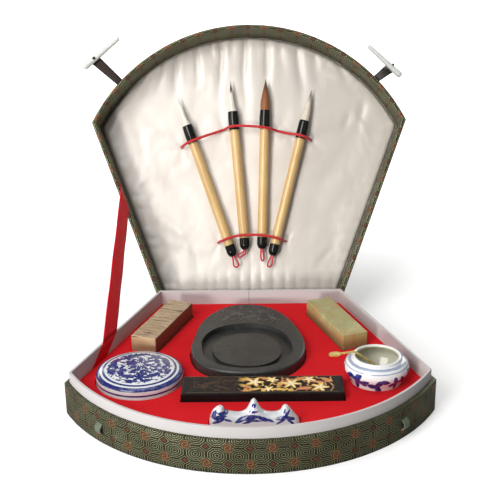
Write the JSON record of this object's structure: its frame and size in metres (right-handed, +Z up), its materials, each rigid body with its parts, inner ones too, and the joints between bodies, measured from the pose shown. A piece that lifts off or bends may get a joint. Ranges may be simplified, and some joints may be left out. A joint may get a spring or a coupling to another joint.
{
  "type": "calligraphy set box",
  "caption": "Fan-shaped brocade box with hinged lid, fitted tray of ink stone, ink stick, seals, pots and brush rest, and brushes held by cords in the lid.",
  "frame": {"origin": "middle of the base footprint, on the surface the box stands on", "axes": "+Z up, +Y towards the hinge and the open lid, +X to the right seen from the front"},
  "size_m": [0.3393, 0.4432, 0.2934],
  "materials": {
    "greyboard": "matt",
    "brocade": "woven silk, satin sheen",
    "white_paper": "matt",
    "base_paper": "matt",
    "foam": "open foam",
    "red_flock": "flocked velvet",
    "satin": "satin",
    "red_ribbon": "satin",
    "red_cord": "braided",
    "bamboo": "lacquered",
    "black_horn": "glossy",
    "hair_white": "fine hair",
    "hair_mixed": "fine hair",
    "hair_brown": "fine hair",
    "hair_cream": "fine hair",
    "bone": "satin",
    "maroon_ribbon": "woven",
    "clasp_cloth": "woven silk",
    "ink_slate": "honed",
    "seal_stone_left": "polished",
    "seal_stone_right": "polished",
    "white_porcelain": "glossy",
    "celadon_glaze": "glossy",
    "cinnabar": "waxy",
    "brass": "brushed",
    "black_ink": "satin"
  },
  "bodies": {
    "base": {"base_back_board": "greyboard", "base_bottom_sheet": "base_paper", "base_brocade_cover": "brocade", "base_floor_board": "greyboard", "base_front_board": "greyboard", "base_left_board": "greyboard", "base_right_board": "greyboard", "clasp_loops": "clasp_cloth", "collar_back": "white_paper", "collar_front": "white_paper", "collar_left": "white_paper", "collar_right": "white_paper", "hinge_cloth": "brocade", "insert_flock": "red_flock", "insert_foam": "foam", "ribbon_stay": "red_ribbon"},
    "lid": {"lid_top_board": "greyboard", "lid_back_board": "greyboard", "lid_left_board": "greyboard", "lid_right_board": "greyboard", "lid_front_board": "greyboard", "lid_brocade_cover": "brocade", "lid_lining_card": "greyboard", "satin_panel": "satin", "cord_upper": "red_cord", "cord_lower": "red_cord"},
    "toggle_left": {"toggle_ribbon_left": "maroon_ribbon"},
    "peg_left": {"toggle_peg_left": "bone"},
    "toggle_right": {"toggle_ribbon_right": "maroon_ribbon"},
    "peg_right": {"toggle_peg_right": "bone"},
    "brush_1": {"brush_1_handle": "bamboo", "brush_1_ferrule": "black_horn", "brush_1_hair": "hair_white", "brush_1_cap": "black_horn", "brush_1_loop": "red_cord"},
    "brush_2": {"brush_2_handle": "bamboo", "brush_2_ferrule": "black_horn", "brush_2_hair": "hair_mixed", "brush_2_cap": "black_horn", "brush_2_loop": "red_cord"},
    "brush_3": {"brush_3_handle": "bamboo", "brush_3_ferrule": "black_horn", "brush_3_hair": "hair_brown", "brush_3_cap": "black_horn", "brush_3_loop": "red_cord"},
    "brush_4": {"brush_4_handle": "bamboo", "brush_4_ferrule": "black_horn", "brush_4_hair": "hair_cream", "brush_4_cap": "black_horn", "brush_4_loop": "red_cord"},
    "ink_stone_body": {"ink_stone": "ink_slate"},
    "seal_left_body": {"seal_left": "seal_stone_left"},
    "seal_right_body": {"seal_right": "seal_stone_right"},
    "water_pot_body": {"water_pot": "celadon_glaze"},
    "spoon_body": {"spoon": "brass"},
    "ink_stick_body": {"ink_stick": "black_ink"},
    "brush_rest_body": {"brush_rest": "white_porcelain"},
    "paste_box": {"paste_bowl": "white_porcelain", "cinnabar_paste": "cinnabar"},
    "paste_box_lid": {"paste_lid": "white_porcelain"}
  },
  "joints": [
    {"name": "lid_hinge", "type": "hinge", "parent": "base", "child": "lid", "pos_m": [0, 0.143, 0.0306], "axis": [-1, 0, 0], "range_deg": [-113.2, 0], "deforming": ["hinge_cloth", "ribbon_stay"]},
    {"name": "toggle_left_swing", "type": "hinge", "parent": "lid", "child": "toggle_left", "pos_m": [-0.13613, 0.23583, 0.23831], "axis": [-0.6791, -0.2892, -0.6747], "range_deg": [-45, 90]},
    {"name": "peg_left_turn", "type": "hinge", "parent": "toggle_left", "child": "peg_left", "pos_m": [-0.16168, 0.24138, 0.26165], "axis": [0, 0.9191, -0.3939], "range_deg": [-60, 60]},
    {"name": "toggle_right_swing", "type": "hinge", "parent": "lid", "child": "toggle_right", "pos_m": [0.13533, 0.23617, 0.23911], "axis": [-0.6838, 0.2875, 0.6707], "range_deg": [-97, 38]},
    {"name": "peg_right_turn", "type": "hinge", "parent": "toggle_right", "child": "peg_right", "pos_m": [0.15332, 0.2657, 0.24479], "axis": [-0.575, 0.3536, -0.7378], "range_deg": [-60, 60]},
    {"name": "brush_1_slide", "type": "slide", "parent": "lid", "child": "brush_1", "axis": [-0.3249, 0.3726, 0.8693], "range_m": [0, 0.035]},
    {"name": "brush_2_slide", "type": "slide", "parent": "lid", "child": "brush_2", "axis": [-0.0803, 0.3927, 0.9162], "range_m": [0, 0.035]},
    {"name": "brush_3_slide", "type": "slide", "parent": "lid", "child": "brush_3", "axis": [0.0326, 0.3937, 0.9186], "range_m": [0, 0.035]},
    {"name": "brush_4_slide", "type": "slide", "parent": "lid", "child": "brush_4", "axis": [0.2425, 0.3822, 0.8917], "range_m": [0, 0.035]},
    {"name": "ink_stone_lift", "type": "slide", "parent": "base", "child": "ink_stone_body", "axis": [0, 0, 1], "range_m": [0, 0.045]},
    {"name": "seal_left_lift", "type": "slide", "parent": "base", "child": "seal_left_body", "axis": [0, 0, 1], "range_m": [0, 0.045]},
    {"name": "seal_right_lift", "type": "slide", "parent": "base", "child": "seal_right_body", "axis": [0, 0, 1], "range_m": [0, 0.045]},
    {"name": "paste_box_lift", "type": "slide", "parent": "base", "child": "paste_box", "axis": [0, 0, 1], "range_m": [0, 0.045]},
    {"name": "paste_lid_lift", "type": "slide", "parent": "paste_box", "child": "paste_box_lid", "axis": [0, 0, 1], "range_m": [0, 0.025]},
    {"name": "water_pot_lift", "type": "slide", "parent": "base", "child": "water_pot_body", "axis": [0, 0, 1], "range_m": [0, 0.045]},
    {"name": "spoon_lift", "type": "slide", "parent": "water_pot_body", "child": "spoon_body", "axis": [0, 0, 1], "range_m": [0, 0.03]},
    {"name": "ink_stick_lift", "type": "slide", "parent": "base", "child": "ink_stick_body", "axis": [0, 0, 1], "range_m": [0, 0.045]},
    {"name": "brush_rest_lift", "type": "slide", "parent": "base", "child": "brush_rest_body", "axis": [0, 0, 1], "range_m": [0, 0.045]}
  ]
}
